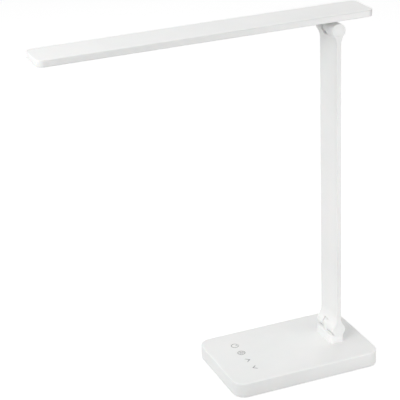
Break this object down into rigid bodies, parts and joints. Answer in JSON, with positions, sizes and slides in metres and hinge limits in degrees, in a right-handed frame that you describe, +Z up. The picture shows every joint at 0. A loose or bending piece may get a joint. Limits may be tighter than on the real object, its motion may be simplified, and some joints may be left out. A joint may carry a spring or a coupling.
{
  "type": "folding led desk lamp",
  "caption": "Folding desk lamp: flat weighted base with touch marks, flat arm on a hinge pin and a long flat light head on a second hinge pin.",
  "frame": {"origin": "middle of the underside of the rubber pad that the lamp stands on, below the middle of the base", "axes": "+X along the base towards its hinge end, +Y across the base and along both hinge pins, +Z up; the head reaches towards -X"},
  "size_m": [0.3515, 0.109, 0.3885],
  "materials": {
    "white_shell": "satin moulded ABS",
    "white_cover": "fine textured moulded ABS",
    "steel": "zinc plated steel",
    "weight_steel": "raw cut steel",
    "rubber": "matt silicone",
    "mark_ink": "printed grey ink",
    "board_green": "solder mask",
    "spring_brass": "plated spring wire",
    "black_plastic": "moulded",
    "red_lead": "wire sleeve",
    "white_lead": "wire sleeve",
    "washer_nylon": "nylon",
    "diffuser_opal": "opal acrylic, satin",
    "reflector_film": "white polyester film",
    "led_aluminium": "white coated aluminium",
    "led_phosphor": "phosphor over white package"
  },
  "bodies": {
    "base": {"base_shell": "white_shell", "bottom_cover": "white_cover", "cover_screws": "steel", "rubber_pad": "rubber", "steel_weight": "weight_steel", "weight_screws": "steel", "touch_marks": "mark_ink", "touch_board": "board_green", "touch_springs": "spring_brass", "board_parts": "black_plastic", "board_screws": "steel", "power_inlet": "black_plastic", "inlet_pin": "steel", "power_wire": "red_lead", "foot_wire": "white_lead", "foot_block": "white_shell", "foot_plate": "steel", "foot_screws": "steel", "lower_friction_washers": "washer_nylon"},
    "arm": {"lower_pin": "steel", "lower_nut": "steel", "lower_spring_washer": "steel", "lower_pin_caps": "white_shell", "arm_body": "white_shell", "arm_lid": "white_shell", "arm_lid_screws": "steel", "arm_strips": "steel", "arm_wire": "white_lead", "upper_pin": "steel", "upper_nut": "steel", "upper_spring_washer": "steel", "upper_pin_caps": "white_shell"},
    "head": {"upper_friction_washers": "washer_nylon", "upper_knuckle": "white_shell", "knuckle_screws": "steel", "head_cover": "white_shell", "head_frame": "white_cover", "frame_screws": "steel", "diffuser": "diffuser_opal", "reflector": "reflector_film", "led_board": "led_aluminium", "led_chips": "led_phosphor", "head_wire": "white_lead"}
  },
  "joints": [
    {"name": "arm_fold", "type": "hinge", "parent": "base", "child": "arm", "pos_m": [0.053, 0, 0.0326], "axis": [0, 1, 0], "range_deg": [-80, 20]},
    {"name": "head_tilt", "type": "hinge", "parent": "arm", "child": "head", "pos_m": [0.053, 0, 0.3706], "axis": [0, 1, 0], "range_deg": [-90, 90]}
  ]
}
